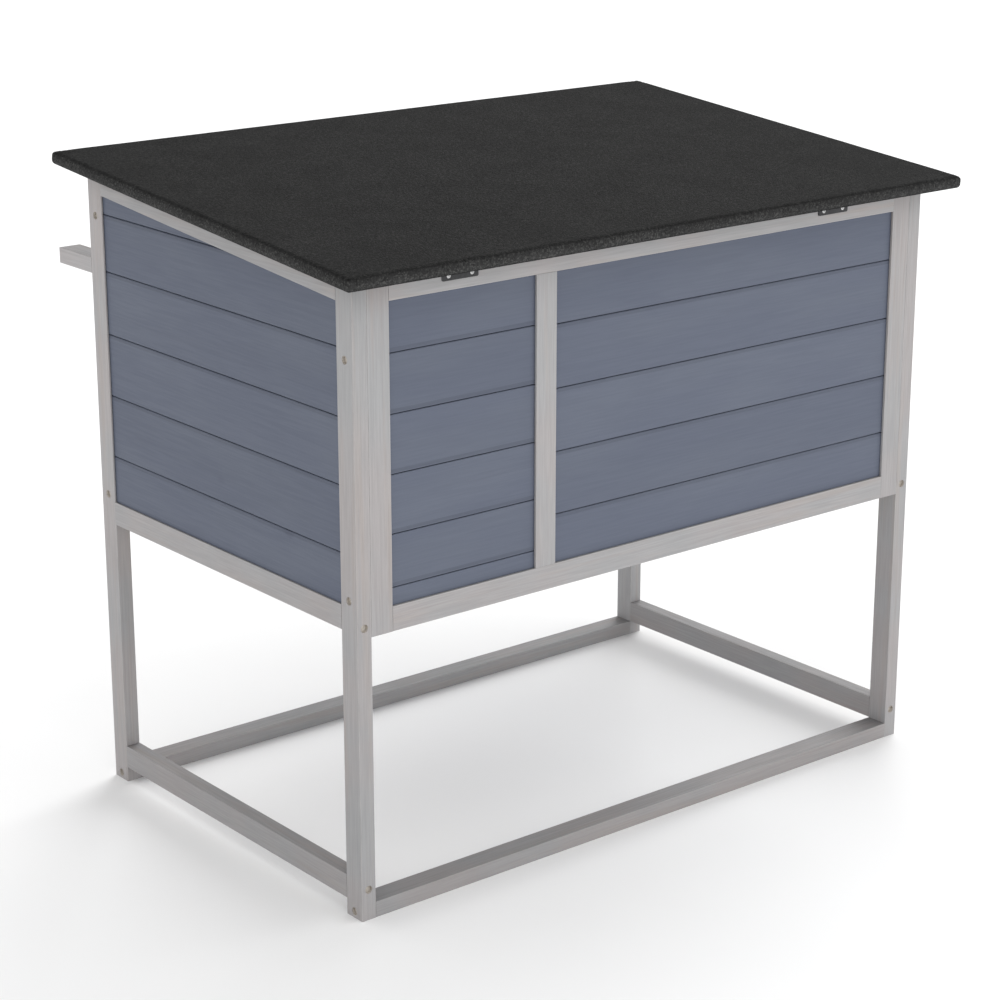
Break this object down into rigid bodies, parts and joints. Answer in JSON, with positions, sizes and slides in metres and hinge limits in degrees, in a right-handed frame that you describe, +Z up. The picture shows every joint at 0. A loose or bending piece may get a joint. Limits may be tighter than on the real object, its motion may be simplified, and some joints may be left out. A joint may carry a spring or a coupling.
{
  "type": "rabbit hutch",
  "caption": "Rabbit hutch on an open timber stand: plank-sided cabin, felted roof hinged at the back, solid and mesh doors, barrel bolts and a slide-out tray.",
  "frame": {"origin": "on the floor, below the middle of the overall box", "axes": "+Z up; X along the length, with the den and its solid door towards +X; the doors face -Y and the roof hinges are at +Y"},
  "size_m": [0.966, 0.6694, 0.8256],
  "materials": {
    "painted_timber": "thin pale grey wash paint, matt, grain showing",
    "painted_planks": "slate blue-grey paint, matt, faint grain",
    "bare_plywood": "unpainted plywood, sanded",
    "bare_timber": "unpainted pine, planed",
    "roof_felt": "bitumen roofing felt with a charcoal mineral grit, matt",
    "hinge_steel": "dark grey coated steel, satin",
    "bolt_steel": "dark grey coated steel, satin",
    "bright_steel": "zinc plated steel",
    "mesh_wire": "black coated welded wire",
    "tray_enamel": "grey coated sheet steel"
  },
  "bodies": {
    "frame": {"post_front_right": "painted_timber", "post_back_right": "painted_timber", "post_front_left": "painted_timber", "post_back_left": "painted_timber", "stand_rail_front": "painted_timber", "stand_rail_back": "painted_timber", "stand_rail_right": "painted_timber", "stand_rail_left": "painted_timber", "end_rail_right": "painted_timber", "end_top_rail_right": "painted_timber", "end_planks_right": "painted_planks", "end_rail_left": "painted_timber", "end_top_rail_left": "painted_timber", "end_planks_left": "painted_planks", "back_stile_right": "painted_timber", "back_stile_left": "painted_timber", "back_bottom_rail": "painted_timber", "back_top_rail": "painted_timber", "back_mid_stile": "painted_timber", "back_planks_den": "painted_planks", "back_planks_run": "painted_planks", "front_stile_right": "painted_timber", "front_stile_left": "painted_timber", "front_bottom_rail": "painted_timber", "front_sill": "painted_timber", "front_top_rail": "painted_timber", "front_mid_stile": "painted_timber", "front_arms": "painted_timber", "floor_board": "painted_planks", "floor_bearers": "bare_timber", "partition": "bare_plywood", "roof_hinge_frame_leaves": "hinge_steel", "roof_hinge_pins": "bright_steel", "door_hinge_frame_leaves": "hinge_steel", "door_hinge_pins": "bright_steel", "hinge_screws": "bright_steel", "frame_screws": "bright_steel", "bolt_keepers": "bolt_steel"},
    "roof": {"roof_board": "bare_plywood", "roof_felt": "roof_felt", "roof_hinge_roof_leaves": "hinge_steel"},
    "den_door": {"den_door_stile_left": "painted_timber", "den_door_stile_right": "painted_timber", "den_door_bottom_rail": "painted_timber", "den_door_top_rail": "painted_timber", "den_door_planks": "painted_planks", "den_door_hinge_leaves": "hinge_steel", "den_bolt_case": "bolt_steel"},
    "run_door": {"run_door_stile_left": "painted_timber", "run_door_stile_right": "painted_timber", "run_door_bottom_rail": "painted_timber", "run_door_top_rail": "painted_timber", "run_door_mesh": "mesh_wire", "run_door_hinge_leaves": "hinge_steel", "run_bolt_case": "bolt_steel"},
    "den_bolt": {"den_bolt": "bright_steel"},
    "run_bolt": {"run_bolt": "bright_steel"},
    "tray": {"tray": "tray_enamel", "tray_front": "painted_timber", "tray_pull": "bright_steel"}
  },
  "joints": [
    {"name": "roof_lift", "type": "hinge", "parent": "frame", "child": "roof", "pos_m": [0, 0.29755, 0.7556], "axis": [-1, 0, 0], "range_deg": [0, 95]},
    {"name": "den_door_swing", "type": "hinge", "parent": "frame", "child": "den_door", "pos_m": [0.39875, -0.25905, 0.6], "axis": [0, 0, 1], "range_deg": [0, 105]},
    {"name": "run_door_swing", "type": "hinge", "parent": "frame", "child": "run_door", "pos_m": [-0.39875, -0.25905, 0.6], "axis": [0, 0, -1], "range_deg": [0, 105]},
    {"name": "den_bolt_slide", "type": "slide", "parent": "den_door", "child": "den_bolt", "axis": [-1, 0, 0], "range_m": [0, 0.012]},
    {"name": "run_bolt_slide", "type": "slide", "parent": "run_door", "child": "run_bolt", "axis": [1, 0, 0], "range_m": [0, 0.012]},
    {"name": "tray_slide", "type": "slide", "parent": "frame", "child": "tray", "axis": [0, -1, 0], "range_m": [0, 0.44]}
  ]
}
